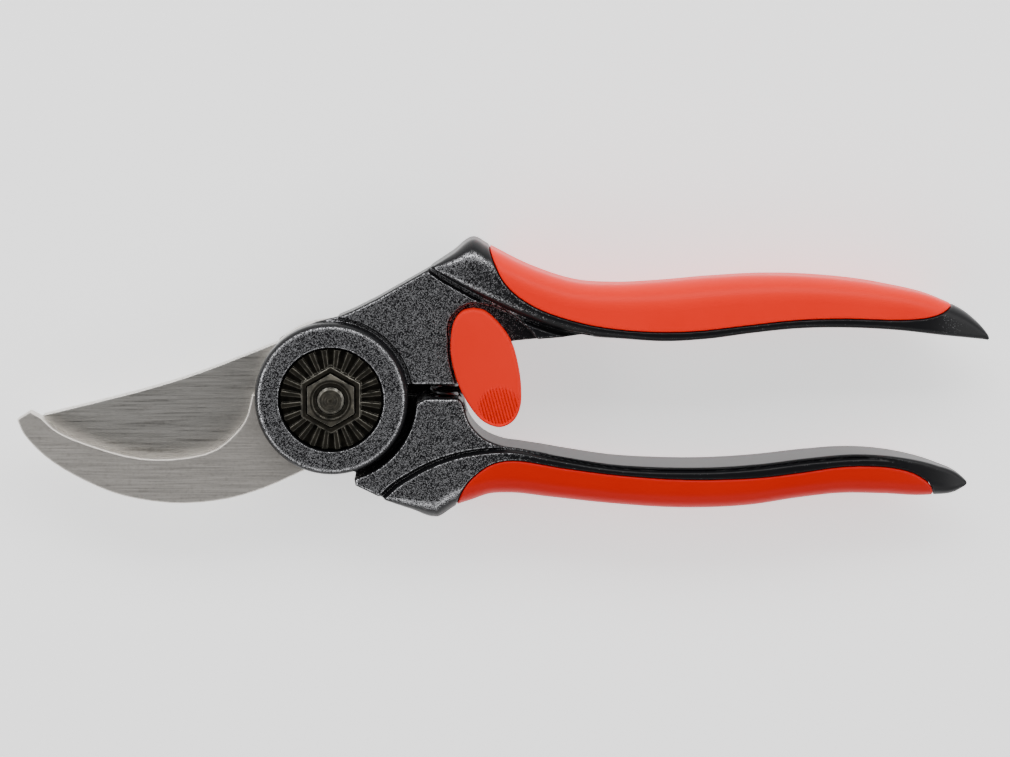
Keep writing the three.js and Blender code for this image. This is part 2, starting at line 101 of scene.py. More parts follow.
# %% [markdown]
# ## Outlines
#
# A drawn outline is a few corners, joined by smooth runs. `smooth` is the
# Catmull-Rom curve that passes through each of its points. `line_through` gives a
# height that varies smoothly along the tool, which is how the long, curved handles
# are described.

# %% Helpers for outlines
def smooth(pieces, *pairs):
    p = np.array(pairs, float)
    p = np.vstack([2 * p[0] - p[1], p, 2 * p[-1] - p[-2]])
    t = np.linspace(0, len(pairs) - 1, pieces + 1)
    i = np.minimum(t.astype(int), len(pairs) - 2)
    f = (t - i)[:, None]
    a, b, c, d = p[i], p[i + 1], p[i + 2], p[i + 3]
    return list(
        b + f * ((c - a) + f * ((2 * a - 5 * b + 4 * c - d) + f * (3 * b - a - 3 * c + d))) / 2
    )


def line_through(*pairs):
    xs, ys = np.array(pairs, float).T
    slopes = np.gradient(ys, xs)

    def at(x):
        x = np.clip(x, xs[0], xs[-1])
        i = np.clip(np.searchsorted(xs, x, side="right") - 1, 0, len(xs) - 2)
        span = xs[i + 1] - xs[i]
        f = (x - xs[i]) / span
        rise = f * f * (3 - 2 * f)
        return (
            ys[i] * (1 - rise)
            + ys[i + 1] * rise
            + span * f * (1 - f) * ((1 - f) * slopes[i] - f * slopes[i + 1])
        )

    return at


print("a run through three points has", len(smooth(8, (0, 0), (5, 2), (9, 0))), "points")

# %% [markdown]
# ## Distance fields
#
# A forging has no sharp edges: its corners are rounded by the die, and a powder coat
# softens them more. A distance field says how far each point in space is from the
# surface, below zero inside. Fields join with `minimum`, cut with `maximum`, and
# round an edge by working with circles instead, so a soft blend costs one line.
# Modelling the same blends face by face would take many bevels that fail where
# three edges meet.

# %% Fields in the plane
def outline_distance(points):
    corners = np.array(points, np.float32)

    def distance(x, y):
        nearest = np.float32(1e9)
        inside = False
        for (ax, ay), (bx, by) in zip(corners, np.roll(corners, -1, axis=0)):
            ex, ey = bx - ax, by - ay
            px, py = x - ax, y - ay
            t = np.clip((px * ex + py * ey) / (ex * ex + ey * ey + 1e-12), 0, 1)
            nearest = np.minimum(nearest, (px - t * ex) ** 2 + (py - t * ey) ** 2)
            across = (ay > y) != (by > y)
            inside = inside ^ (across & (px < py * ex / (ey if ey else 1e-9)))
        return np.where(inside, -1, 1) * np.sqrt(nearest)

    return distance


def path_distance(points):
    corners = np.array(points, np.float32)

    def distance(x, y):
        nearest = np.float32(1e9)
        for (ax, ay), (bx, by) in zip(corners[:-1], corners[1:]):
            ex, ey = bx - ax, by - ay
            px, py = x - ax, y - ay
            t = np.clip((px * ex + py * ey) / (ex * ex + ey * ey + 1e-12), 0, 1)
            nearest = np.minimum(nearest, (px - t * ex) ** 2 + (py - t * ey) ** 2)
        return np.sqrt(nearest)

    return distance


def disc(x, y, radius, centre=(0, 0)):
    return np.hypot(x - centre[0], y - centre[1]) - radius


# %% Fields in space
def rounded_corner(a, b, radius):
    """Both a and b below zero, with the edge between them rounded."""
    outside = np.hypot(np.maximum(a + radius, 0), np.maximum(b + radius, 0))
    return outside + np.minimum(np.maximum(a, b) + radius, 0) - radius


def slab(flat, z, bottom, top, radius=0.0):
    """A flat shape given a thickness, with its top and bottom edges rounded."""
    middle, half = (bottom + top) / 2, (top - bottom) / 2
    return rounded_corner(flat, np.abs(z - middle) - half, radius)


def soft_join(a, b, radius):
    """Either a or b, with a fillet where they meet."""
    near = np.maximum(radius - np.abs(a - b), 0) / radius
    return np.minimum(a, b) - near * near * radius / 4


def cut_away(body, tool, radius=0.0):
    return rounded_corner(body, -tool, radius)


# %% [markdown]
# ## Skinning a field
#
# A surface net puts one point in every small cube that the surface passes through,
# at the mean of where it crosses the cube's edges, and joins neighbours with
# four-sided faces. The result is always closed, and its faces are even, which shades
# well. A second step slides each point onto the exact surface, so edges come out
# straight instead of stepped.

# %% Turn a field into a mesh object
CUBE = np.array([(i, j, k) for i in (0, 1) for j in (0, 1) for k in (0, 1)])
CUBE_EDGES = [(a, b) for a in CUBE for b in CUBE if (b - a).sum() == 1 and (b >= a).all()]


def sample(values, places):
    """The field and its slope at places given in cells, by straight-line interpolation."""
    base = np.clip(np.floor(places).astype(int), 0, np.array(values.shape) - 2)
    f = places - base
    total = np.zeros(len(places))
    slope = np.zeros((len(places), 3))
    for corner in CUBE:
        v = values[tuple((base + corner).T)]
        weight = np.where(corner == 1, f, 1 - f)
        total += v * weight.prod(1)
        for axis in range(3):
            others = [k for k in range(3) if k != axis]
            slope[:, axis] += (1 if corner[axis] else -1) * v * weight[:, others].prod(1)
    return total, slope


def surface_net(values):
    inside = values < 0
    n = np.array(values.shape) - 1
    shifted = [inside[i : n[0] + i, j : n[1] + j, k : n[2] + k] for i, j, k in CUBE]
    mixed = np.logical_or.reduce(shifted) & ~np.logical_and.reduce(shifted)
    cells = np.argwhere(mixed)
    number = np.full(mixed.shape, -1, np.int32)
    number[mixed] = np.arange(len(cells))
    total, crossings = np.zeros((len(cells), 3)), np.zeros((len(cells), 1))
    for a, b in CUBE_EDGES:
        va, vb = values[tuple((cells + a).T)], values[tuple((cells + b).T)]
        crossed = ((va < 0) != (vb < 0))[:, None]
        t = (va / np.where(va == vb, 1, va - vb))[:, None]
        total += np.where(crossed, a + t * (b - a), 0)
        crossings += crossed
    points = cells + total / crossings
    faces = []
    for axis in range(3):
        u, v = np.eye(3, dtype=int)[[(axis + 1) % 3, (axis + 2) % 3]]
        step = np.eye(3, dtype=int)[axis]
        here = inside[tuple(slice(1 - s, c) for s, c in zip(step, n))]
        there = inside[tuple(slice(1, c + s) for s, c in zip(step, n))]
        places = np.argwhere(here != there) + (1 - step)
        quad = [number[tuple((places - d).T)] for d in (0 * u, u, u + v, v)]
        leaving = here[here != there]
        quad = np.column_stack(quad)
        faces.append(np.where(leaving[:, None], quad, quad[:, ::-1]))
    return points, np.vstack(faces)


def skin(name, field, lowest, highest, voxel):
    """The surface of field(x, y, z) inside a box, as an object in metres."""
    lowest = np.array(lowest, float)
    counts = np.ceil((np.array(highest) - lowest) / voxel).astype(int) + 1
    axes = [lowest[a] + voxel * np.arange(counts[a]) for a in range(3)]
    x, y, z = (
        axes[0][:, None, None].astype(np.float32),
        axes[1][None, :, None].astype(np.float32),
        axes[2][None, None, :].astype(np.float32),
    )
    values = np.broadcast_to(field(x, y, z), tuple(counts)).astype(np.float32)
    points, faces = surface_net(values)
    for _ in range(2):
        away, slope = sample(values, points)
        steep = np.maximum((slope**2).sum(1), 0.2 * voxel**2)
        points = points - np.clip((away / steep)[:, None] * slope, -0.5, 0.5)
    mesh = bpy.data.meshes.new(name)
    mesh.from_pydata(((lowest + voxel * points) / MM).tolist(), [], faces.tolist())
    mesh.validate()
    mesh.shade_smooth()
    piece = bpy.data.objects.new(name, mesh)
    bpy.context.scene.collection.objects.link(piece)
    print(name, "has", len(mesh.polygons), "faces")
    return piece


def thin_out(piece, keep):
    """Fewer faces where the surface is flat; the modifier keeps the curved parts."""
    modifier = piece.modifiers.new("fewer faces", "DECIMATE")
    modifier.ratio = keep
    return piece


# %% [markdown]
# ## Shader maths
#
# A material is a graph of nodes. `Value` wraps one output socket, so that
# `1 - mask * 0.5` adds its Math nodes by itself, and `Finish.node` makes every other
# kind of node: its settings first, then what goes into its sockets.

# %% The socket class and the material class
class Value:
    def __init__(self, finish, socket):
        self.finish, self.socket = finish, socket

    def math(self, operation, first, second):
        return self.finish.node("ShaderNodeMath", {"operation": operation}, {0: first, 1: second})

    def __add__(self, other):
        return self.math("ADD", self, other)

    def __radd__(self, other):
        return self.math("ADD", other, self)

    def __sub__(self, other):
        return self.math("SUBTRACT", self, other)

    def __rsub__(self, other):
        return self.math("SUBTRACT", other, self)

    def __mul__(self, other):
        return self.math("MULTIPLY", self, other)

    def __rmul__(self, other):
        return self.math("MULTIPLY", other, self)


class Finish:
    def __init__(self, name, **constants):
        self.material = bpy.data.materials.new(name)
        self.material.use_nodes = True
        self.tree = self.material.node_tree
        self.shader = self.tree.nodes["Principled BSDF"]
        for socket, value in constants.items():
            self.shader.inputs[socket.replace("_", " ")].default_value = value
        self.place = self.node("ShaderNodeTexCoord", {}, {}, "Object")

    def node(self, kind, settings, inputs, output=0):
        made = self.tree.nodes.new(kind)
        for key, value in settings.items():
            if key == "stops":
                self.set_stops(made.color_ramp, value)
            else:
                setattr(made, key, value)
        for key, value in inputs.items():
            if isinstance(value, Value):
                self.tree.links.new(value.socket, made.inputs[key])
            else:
                made.inputs[key].default_value = value
        return Value(self, made.outputs[output])

    def set_stops(self, ramp, stops):
        while len(ramp.elements) < len(stops):
            ramp.elements.new(1.0)
        for element, (position, colour) in zip(ramp.elements, stops):
            element.position = position
            element.color = (*colour, 1) if hasattr(colour, "__len__") else (colour,) * 3 + (1,)

    def noise(self, scale, detail=2.0, stretch=(1, 1, 1), turn=(0, 0, 0)):
        placed = self.node(
            "ShaderNodeMapping", {}, {"Vector": self.place, "Rotation": turn, "Scale": stretch}
        )
        return self.node(
            "ShaderNodeTexNoise", {}, {"Vector": placed, "Scale": scale, "Detail": detail}
        )

    def step(self, value, start, end):
        """A soft step from 0 at the start to 1 at the end."""
        kind = {"interpolation_type": "SMOOTHSTEP"}
        return self.node(
            "ShaderNodeMapRange", kind, {"Value": value, "From Min": start, "From Max": end}
        )

    def upright(self):
        """How level the surface is: 1 where it is flat, 0 on a wall."""
        facing = self.node("ShaderNodeTexCoord", {}, {}, "Normal")
        slope = self.node("ShaderNodeSeparateXYZ", {}, {"Vector": facing}, "Z")
        return slope.math("ABSOLUTE", slope, 0.0)

    def ramp(self, value, *stops):
        return self.node("ShaderNodeValToRGB", {"stops": stops}, {"Fac": value})

    def mix(self, share, first, second):
        return self.node(
            "ShaderNodeMix", {"data_type": "RGBA"}, {0: share, 6: first, 7: second}, 2
        )

    def bump(self, height, strength, depth):
        return self.node(
            "ShaderNodeBump", {}, {"Height": height, "Strength": strength, "Distance": depth}
        )

    def feed(self, **sockets):
        for socket, value in sockets.items():
            self.tree.links.new(value.socket, self.shader.inputs[socket.replace("_", " ")])
        return self.material


def wear(piece, material):
    piece.data.materials.clear()
    piece.data.materials.append(material)
    return piece


# %% [markdown]
# ## Powder coat
#
# The arms are sprayed with a charcoal powder that holds tiny silver flakes. Each
# flake is one cell of a Voronoi pattern about a seventh of a millimetre across, with
# its own random brightness. The darker half of the cells is black binder, and the
# rest turn gradually to bare metal, which mirrors its surroundings. Steep walls get
# no flakes, and places lying low, such as the hub, the lip and the gap between the
# arms, get few. That is painted shade, which keeps them black. More flakes show where
# a flat face begins to round over, a painted highlight along those edges, and they
# thin out along the rails.

# %% The charcoal powder coat
def powder_coat():
    coat = Finish("charcoal_powder_coat", Specular_IOR_Level=0.22)
    cells = coat.node(
        "ShaderNodeTexVoronoi", {}, {"Vector": coat.place, "Scale": 7000.0}, "Color"
    )
    chance = coat.node("ShaderNodeSeparateColor", {}, {"Color": cells}, "Red")
    along = coat.node("ShaderNodeSeparateXYZ", {}, {"Vector": coat.place}, "X")
    height = coat.node("ShaderNodeSeparateXYZ", {}, {"Vector": coat.place}, "Z")
    thinning = coat.step(along, 0.024, 0.055) * 0.62
    upright = coat.upright()
    # Painted shade: flakes fade out below a set height, darkening the hub, the lip and the gap between
    # the arms.
    recess = coat.step(height, (SHEAR + 4.6) / MM, (SHEAR + 2.8) / MM)
    # Painted shade: walls and low places lose their flakes and turn black.
    flakes_outside_painted_shade = coat.step(upright, 0.72, 0.92) * (1 - recess * 0.9)
    # Painted highlight: extra flakes in a band where a flat face rounds over.
    edge = coat.ramp(upright, (0.8, 0.0), (0.9, 1.0), (0.96, 1.0), (0.995, 0.0))
    cloud = coat.noise(700.0, 2.0)
    flake = coat.node(
        "ShaderNodeMapRange",
        {"clamp": True},
        {
            "Value": chance + (cloud - 0.5) * 0.3 + edge * 0.24 - thinning,
            "From Min": 0.55,
            "From Max": 1.0,
        },
    )
    grain = coat.noise(2600.0, 2.0)
    return coat.feed(
        Base_Color=coat.mix(flake * flakes_outside_painted_shade, (0.006, 0.006, 0.007, 1), (0.54, 0.54, 0.56, 1)),
        Metallic=flake * flakes_outside_painted_shade * 0.9,
        Roughness=0.32 - flake * 0.06,
        Normal=coat.bump(grain + flake * 0.4, 0.12, 0.00005),
    )


COAT = powder_coat()
print("made", COAT.name)

# %% [markdown]
# ## Moulded plastic
#
# The grips and the latch are a satin thermoplastic. It is even, so what makes it
# real is small: slow waves in the colour, a roughness that drifts, and a fine, soft
# grain. The lower grip is given a darker red than the upper one as painted shade,
# since it lies on the side away from the main light, and the latch is the most matt.

# %% The three red plastics
def red_plastic(name, dark, bright, roughness, grain):
    plastic = Finish(name, Specular_IOR_Level=0.12)
    drift = plastic.noise(55.0, 3.0)
    fine = plastic.noise(1600.0, 2.0)
    return plastic.feed(
        Base_Color=plastic.mix(drift, dark, bright),
        Roughness=(drift - 0.5) * 0.16 + (fine - 0.5) * 0.1 + roughness,
        Normal=plastic.bump(fine + drift * 0.4, grain, 0.00006),
    )


UPPER_RED = red_plastic("upper_grip_red", (0.86, 0.012, 0.003, 1), (0.95, 0.018, 0.005, 1), 0.36, 0.15)
# Painted shade: the same red plastic as the upper grip, made darker because the lower grip lies away from
# the main light.
SHADED_LOWER_RED = red_plastic("lower_grip_red", (0.5, 0.005, 0.002, 1), (0.58, 0.008, 0.003, 1), 0.36, 0.15)
LATCH_RED = red_plastic("latch_red", (0.78, 0.014, 0.004, 1), (0.86, 0.02, 0.006, 1), 0.5, 0.25)
print("made", UPPER_RED.name, SHADED_LOWER_RED.name, LATCH_RED.name)

# %% [markdown]
# ## Ground steel
#
# Both blades are ground flat on a wide wheel, which leaves fine parallel lines. A
# noise squeezed nearly fortyfold across the grinding direction draws them. They vary
# the colour, the roughness and a very shallow bump. The cutting blade shows strong
# lines. The hook is paler, with faint lines in an even, mottled grey.

# %% The two blade steels
def ground_steel(name, dark, bright, roughness, line_depth, tilt, streaks):
    steel = Finish(name, Metallic=1.0)
    lines = steel.noise(130.0, 5.0, (0.7, 26.0, 1.0), (0, 0, tilt))
    fine = steel.noise(520.0, 2.0, (0.3, 9.0, 1.0), (0, 0, tilt))
    mottle = steel.noise(900.0, 4.0)
    blend = lines * streaks + fine * 0.3 + mottle * (0.7 - streaks)
    tone = steel.ramp(blend, (0.34, dark), (0.5, bright), (0.7, dark))
    return steel.feed(
        Base_Color=tone,
        Roughness=roughness + (lines - 0.5) * 0.25,
        Normal=steel.bump(lines + fine * 0.5, line_depth, 0.00003),
    )


HOOK_STEEL = ground_steel("hook_steel", (0.56, 0.53, 0.49), (0.7, 0.665, 0.62), 0.46, 0.1, 0.1, 0.1)
BLADE_STEEL = ground_steel("blade_steel", (0.42, 0.4, 0.375), (0.72, 0.7, 0.66), 0.4, 0.4, 0.1, 0.5)
print("made", HOOK_STEEL.name, BLADE_STEEL.name)

# %% [markdown]
# ## Blackened and plain steel
#
# The dial, the nut, the bolt and the screws are blackened and oiled. On rounded edges
# and chamfers, the places that are neither level nor upright, the black turns paler in
# patches: partly wear, partly a painted highlight along those edges. The spring, the
# washers and the pins stay plain, in a steel darkened as painted shade.

# %% The small hardware's finishes
def blackened_steel(name, edge_wear_and_highlight):
    black = Finish(name)
    patches = black.noise(700.0, 4.0)
    edge = black.ramp(black.upright(), (0.5, 0.0), (0.6, 1.0), (0.74, 1.0), (0.84, 0.0))
    rubbed = black.node(
        "ShaderNodeMapRange", {}, {"Value": patches, "From Min": 0.3, "From Max": 0.6}
    )
    # Paler edges: partly wear of the black, partly a painted highlight on chamfers and rounded edges.
    wear_and_edge_highlight = edge * rubbed * edge_wear_and_highlight
    oiled = black.ramp(patches, (0.3, (0.014, 0.013, 0.01)), (0.7, (0.05, 0.045, 0.034)))
    return black.feed(
        Base_Color=black.mix(wear_and_edge_highlight, oiled, (0.5, 0.48, 0.42, 1)),
        Metallic=0.75 + wear_and_edge_highlight * 0.25,
        Roughness=0.46 - patches * 0.2,
        Normal=black.bump(patches, 0.3, 0.0001),
    )


def plain_metal(name, dark, bright, roughness):
    metal = Finish(name, Metallic=1.0)
    patches = metal.noise(900.0, 3.0)
    return metal.feed(
        Base_Color=metal.ramp(patches, (0.3, dark), (0.7, bright)),
        Roughness=roughness + (patches - 0.5) * 0.2,
        Normal=metal.bump(patches, 0.15, 0.00005),
    )


BLACK = blackened_steel("blackened_steel", 0.8)
NUT_BLACK = blackened_steel("blackened_nut_steel", 0.55)
# The dark base of this steel is partly oil and partly painted shade, because the spring sits in the dark
# gap between the arms. The washers and the pin share it.
SHADED_SPRING_STEEL = plain_metal("spring_steel", (0.12, 0.12, 0.125), (0.22, 0.22, 0.225), 0.34)
BRONZE = plain_metal("sintered_bronze", (0.3, 0.18, 0.07), (0.45, 0.28, 0.12), 0.45)
print("made", BLACK.name, NUT_BLACK.name, SHADED_SPRING_STEEL.name, BRONZE.name)

# %% [markdown]
# ## The handles' shape
#
# Each handle is drawn by three lines along its length: its outer edge, its inner
# edge and half its depth. Across, it is nearly flat on the inner side, where the
# other handle faces it, and round on the outer side, where the palm or the fingers
# lie. The seam is the line on its side where the plastic grip meets the metal rail.

# %% The lines of the two handles
class Handle:
    def __init__(self, outward, outer, inner, depth, inner_edge, seam, core):
        self.outward = outward
        self.outer, self.inner = line_through(*outer), line_through(*inner)
        self.depth, self.inner_edge = line_through(*depth), line_through(*inner_edge)
        self.start, self.end = outer[0][0], outer[-1][0]
        far = 60.0 * outward
        self.grip_side = outline_distance(seam + [(seam[-1][0], far), (seam[0][0], far)])
        self.core = core


UPPER = Handle(
    outward=1,
    outer=[(21, 28), (26, 31), (30.6, 33.9), (33.4, 32.4), (36, 31), (40, 28.9), (45, 26.8),
           (52, 24.7), (60, 24.1), (70, 24.6), (80, 25.5), (92, 26.1), (104, 25.7), (118, 23.9),
           (130, 20.8), (137, 17), (140, 14), (141, 12.6)],
    inner=[(21, 27.6), (24, 26.1), (30, 22.8), (40, 17.9), (48, 14.9), (55, 13.4), (62, 12.9),
           (71, 12.4), (80, 12.9), (90, 14.2), (99, 15.1), (109, 15.3), (120, 14.7), (132, 13.1),
           (141, 11.8)],
    depth=[(21, 6.6), (24, 7.2), (30, 7.7), (40, 7.8), (60, 7.4), (80, 7.4), (100, 7.3), (118, 6.6),
           (130, 4.8), (137, 2.6), (141, 1.2)],
    inner_edge=[(21, 1.6), (26, 2.2), (40, 3.0), (50, 2.6), (62, 1.6), (100, 1.2)],
    seam=smooth(60, (33.3, 36), (33.6, 32.4), (35, 28.5), (37.2, 24.6), (41, 21.2), (47, 18.2),
                (56, 15.7), (66, 14.5), (77, 14.5), (88, 15.7), (99, 16.9), (110, 17.2),
                (121, 16.8), (128, 17.3), (132.5, 19.3), (136, 23)),
    core=(31, 131.5),
)
LOWER = Handle(
    outward=-1,
    outer=[(11, -22), (16, -24.1), (22.9, -26.5), (26.5, -24), (30, -22.7), (33.5, -21.4),
           (38, -21.1), (46, -21.9), (60, -23.3), (75, -24.2), (90, -23.6), (100, -22.1),
           (109, -21.2), (118, -21.4), (129, -21.9), (135, -20.9), (136.9, -19.6)],
    inner=[(11, -20.4), (15, -17.4), (20, -14.8), (27, -12.3), (35, -11.2), (42, -11.4),
           (50, -12.7), (60, -14.2), (70, -14.8), (82, -14.8), (92, -14.1), (102, -12.9),
           (112, -12.2), (121, -12.9), (130, -15.1), (135, -17.3), (136.9, -19)],
    depth=[(11, 6), (25, 6.4), (45, 6.8), (75, 7.2), (95, 7), (110, 6.2), (125, 4.4),
           (133, 2.4), (136.9, 1)],
    inner_edge=[(11, 0.6), (40, 0.7), (60, 0.9), (100, 0.9)],
    seam=smooth(60, (26.2, -28), (26.6, -23.8), (27.9, -20.1), (30.4, -16.9), (34.5, -14.1),
                (40, -13.4), (50, -15), (62, -16.5), (76, -17.4), (90, -17.1), (100, -16),
                (109, -14.8), (117, -14.8), (123, -15.8), (127, -17.7), (129.2, -20.2),
                (129.8, -25)),
    core=(27.5, 127),
)
GRIP_WALL = 2.6


def handle_body(handle, x, y, z, shrink=0.0):
    """The whole handle, or its core when shrunk, as a field."""
    outer, inner = handle.outer(x) - handle.outward * shrink, handle.inner(x)
    half = np.maximum(np.abs(outer - inner) / 2, 0.25)
    depth = np.maximum(handle.depth(x) - shrink, 0.8)
    across = y - (outer + inner) / 2
    smallest = np.minimum(half, depth)
    radius = np.where(
        across * handle.outward > 0, smallest * 0.94, np.minimum(handle.inner_edge(x), smallest)
    )
    section = rounded_corner(np.abs(across) - half, np.abs(z - SHEAR) - depth, radius)
    ends = np.maximum(handle.start + 0.2 - x, x - handle.end)
    return rounded_corner(section, ends, 0.5)


print("upper grip runs from", UPPER.start, "to", UPPER.end, "mm")

# %% [markdown]
# ## The upper arm
#
# One forging carries the round pivot boss, the flat arm, the shoulder and the rail
# that ends in the handle's black tip. The arm's face stops in a groove around the
# boss, and the shoulder rises from it behind a second groove. The shoulder starts at
# half depth, and its underside slopes down to the handle's full depth. The latch lies
# in a shallow pocket, shaped by everywhere that the latch goes.

# %% Outlines of the upper arm and the latch
UPPER_ARM = [
    (0, 0), (16.6, 2.9), (28.3, 2.9), (30.6, 8.6), (35, 11.4), (39, 12.2),
    *smooth(4, (44, 12.7), (50, 13.2), (56, 14)),
    (57, 21), (40, 26), (33.2, 31), (30.4, 33.4), (19.9, 27.2), (9.9, 21.5), (4.9, 19), (1.4, 17.5),
    (-3, 16.4), (-6, 15.2),
]
UPPER_CREST = [(19.9, 27.2), (30.4, 33.4), (33.2, 31), (40, 26)]
UPPER_BACKING = [
    (19.2, 3.2), (28.1, 3.2), (30.4, 8.8), (35, 11.6), (39, 12.4), (56, 14.2), (57, 21),
    (40, 26), (31, 31), (25, 27.3), (20, 23), (19, 20),
]
HOOK_TONGUE_ROOM = [
    (0, 0), (13, 8.6), (16.4, 9.4), (18.6, 11.8), (18.6, 16.7), (15.7, 20.6), (11, 21.5),
    (4.8, 18.6), (1.4, 17),
]
SHOULDER_GROOVE = smooth(
    24, (20.9, 28.2), (24, 25.9), (30, 22.5), (35, 20), (40, 17.6), (45, 15.6), (50, 14.1), (55, 13.4)
)
LATCH_PIN = (30.8, 13.5)
LATCH_FLOOR = low("latch_washer").z - 0.05
LATCH_BOTTOM = LATCH_FLOOR + 0.2
LATCH_TOP = high("thumb_latch").z
LATCH_SWING = math.radians(28)
LATCH_OUTLINE = smooth(
    90, (30.4, 19.5), (27.9, 18.8), (26.1, 16.2), (25.5, 12), (25.8, 8), (27.2, 3), (29.6, -1.6),
    (32.4, -4.8), (35.9, -6.1), (38.8, -4.8), (40.3, -2), (40.6, 1.5), (40.1, 6.4), (38.6, 12),
    (36, 16), (33, 18.8), (30.4, 19.5),
)[1:]
LATCH_POCKET = smooth(
    48, (25.2, 12), (26.2, 17.9), (28.8, 20.3), (31.4, 20.6), (35, 19.7), (38.5, 18), (41.2, 16),
    (43.7, 13.2), (45.5, 10),
)
SCREW_R, SCREW_HEAD_R = 1.7, 2.6
HOOK_SCREWS = [(10.8, 17.6), (15.2, 13.2)]
BLADE_SCREWS = [(9.6, -9.6), (-9.6, 9.6)]


def turned_about_pin(points, angle):
    points = np.array(points) - LATCH_PIN
    turn = np.array([[math.cos(angle), math.sin(angle)], [-math.sin(angle), math.cos(angle)]])
    return points @ turn + LATCH_PIN


def latch_sweep(x, y):
    steps = [LATCH_SWING * i / 4 for i in range(5)]
    swept = [outline_distance(turned_about_pin(LATCH_OUTLINE[::2], a))(x, y) for a in steps]
    return np.minimum(np.minimum.reduce(swept) - 0.55, outline_distance(LATCH_POCKET)(x, y))


def screw_holes(x, y, z, places, bottom, top, head_bottom, head_top):
    holes = [slab(disc(x, y, SCREW_R + 0.2, place), z, bottom, top) for place in places]
    sinks = [
        slab(disc(x, y, SCREW_HEAD_R + 0.2, place), z, head_bottom, head_top) for place in places
    ]
    return np.minimum.reduce(np.broadcast_arrays(*holes, *sinks))


# %% The upper arm's field
SPRING_X, SPRING_Z, SPRING_R = 24.0, SHEAR - 0.4, 3.1
SPRING_FOOT, SPRING_HEAD = -7.2, 13.6


def spring_pocket(x, y, z, start, end):
    across = np.hypot(x - SPRING_X, z - SPRING_Z) - SPRING_R - 0.4
    return np.maximum(across, np.maximum(start - y, y - end))


def upper_arm_field(x, y, z):
    face = slab(outline_distance(UPPER_ARM)(x, y), z, HOOK_BOTTOM, SHEAR + ARM, 0.7)
    crest = np.interp(x, (22, 31), (0.7, 3.5)).astype(np.float32)
    face = np.maximum(face, rounded_corner(-path_distance(UPPER_CREST)(x, y), z - SHEAR - ARM, crest))
    backing = slab(outline_distance(UPPER_BACKING)(x, y), z, SHEAR - ARM, SHEAR + 2, 1.0)
    body = handle_body(UPPER, x, y, z)
    underside = (SHEAR - z) * 0.85 - (x - 20) * 0.52
    body = rounded_corner(body, underside, 1.0)
    metal = np.minimum(np.minimum(face, backing), body)
    groove = np.hypot(path_distance(SHOULDER_GROOVE)(x, y), (z - SHEAR - ARM) * 0.7) - 0.8
    metal = cut_away(metal, groove, 0.15)
    metal = cut_away(metal, UPPER.grip_side(x, y), 0.25)
    core = np.maximum(
        handle_body(UPPER, x, y, z, GRIP_WALL), np.maximum(UPPER.core[0] - x, x - UPPER.core[1])
    )
    metal = np.minimum(metal, core)
    hook_room = np.minimum(
        slab(disc(x, y, FACE_GROOVE_R), z, BELOW, BOSS_BOTTOM),
        slab(outline_distance(HOOK_TONGUE_ROOM)(x, y), z, HOOK_BOTTOM - 1, BOSS_BOTTOM),
    )
    metal = cut_away(metal, hook_room)
    metal = cut_away(metal, slab(disc(x, y, FACE_GROOVE_R), z, WELL_FLOOR, ABOVE), 0.3)
    boss = rounded_corner(disc(x, y, BOSS_R), np.maximum(z - BOSS_TOP, BOSS_BOTTOM - z), 1.7)
    boss = np.minimum(boss, slab(disc(x, y, BOSS_R), z, BOSS_BOTTOM, BOSS_TOP - 1.8))
    metal = np.minimum(metal, boss)
    metal = cut_away(metal, slab(disc(x, y, WELL_R), z, WELL_FLOOR, ABOVE), 0.25)
    metal = cut_away(metal, slab(disc(x, y, BOLT_R), z, BELOW, ABOVE))
    metal = cut_away(metal, slab(latch_sweep(x, y), z, LATCH_FLOOR, ABOVE), 0.25)
    metal = cut_away(metal, spring_pocket(x, y, z, -5, SPRING_HEAD + 0.3), 0.3)
    screws = screw_holes(x, y, z, HOOK_SCREWS, BELOW, SHEAR + 5.2, BELOW, HOOK_BOTTOM)
    return cut_away(metal, screws)


FRAME_VOXEL = 0.26
upper_arm = skin("upper_arm_forging", upper_arm_field, (-17.5, -17.5, 2.4), (142, 35, 19), FRAME_VOXEL)
wear(thin_out(upper_arm, 0.5), COAT)
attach(upper_arm, "upper_handle")
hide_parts("upper_frame")

# %% [markdown]
# ## The lower arm
#
# The second forging has a thin round hub behind both blades, a flat pad beside the
# pivot, and a long rail. A bead runs along the front edge of the rail, set off by a
# narrow groove that starts at the pad.

# %% Outline and field of the lower arm
LOWER_ARM = [
    (0, 0), (1.4, -16.4), (4.8, -17.9), (5, -19), (9.9, -21.4), (16, -24), (22.6, -26.2),
    (26.4, -23.7), (32, -21.8), (44, -21), (46, -12.2),
    *smooth(14, (40, -10.9), (36.4, -10.3), (32.4, -8.5), (29.5, -5.2), (28.2, -1)),
    (27.2, 0), (20, 0), (18.7, -0.8),
]
LOWER_HEEL = [(5, -19), (9.9, -21.4), (16, -24), (22.6, -26.2), (26.4, -23.7), (32, -21.8), (44, -21)]
LOWER_LIP = [(14, -7), (15.2, 2.9), (28, 2.9), (28.2, -2)]
LOWER_FACE_R = 18.1
BEAD_GROOVE = smooth(
    48, (10.4, -21.8), (13.2, -19.1), (16.3, -17), (20, -14.9), (24, -13.2), (28, -12.05),
    (32, -11.35), (36, -11.05), (40, -11.2), (50, -13.2), (60, -14.85), (70, -15.5), (82, -15.5),
    (92, -14.8), (102, -13.6), (112, -12.9), (118, -13.3), (123, -14.2),
)


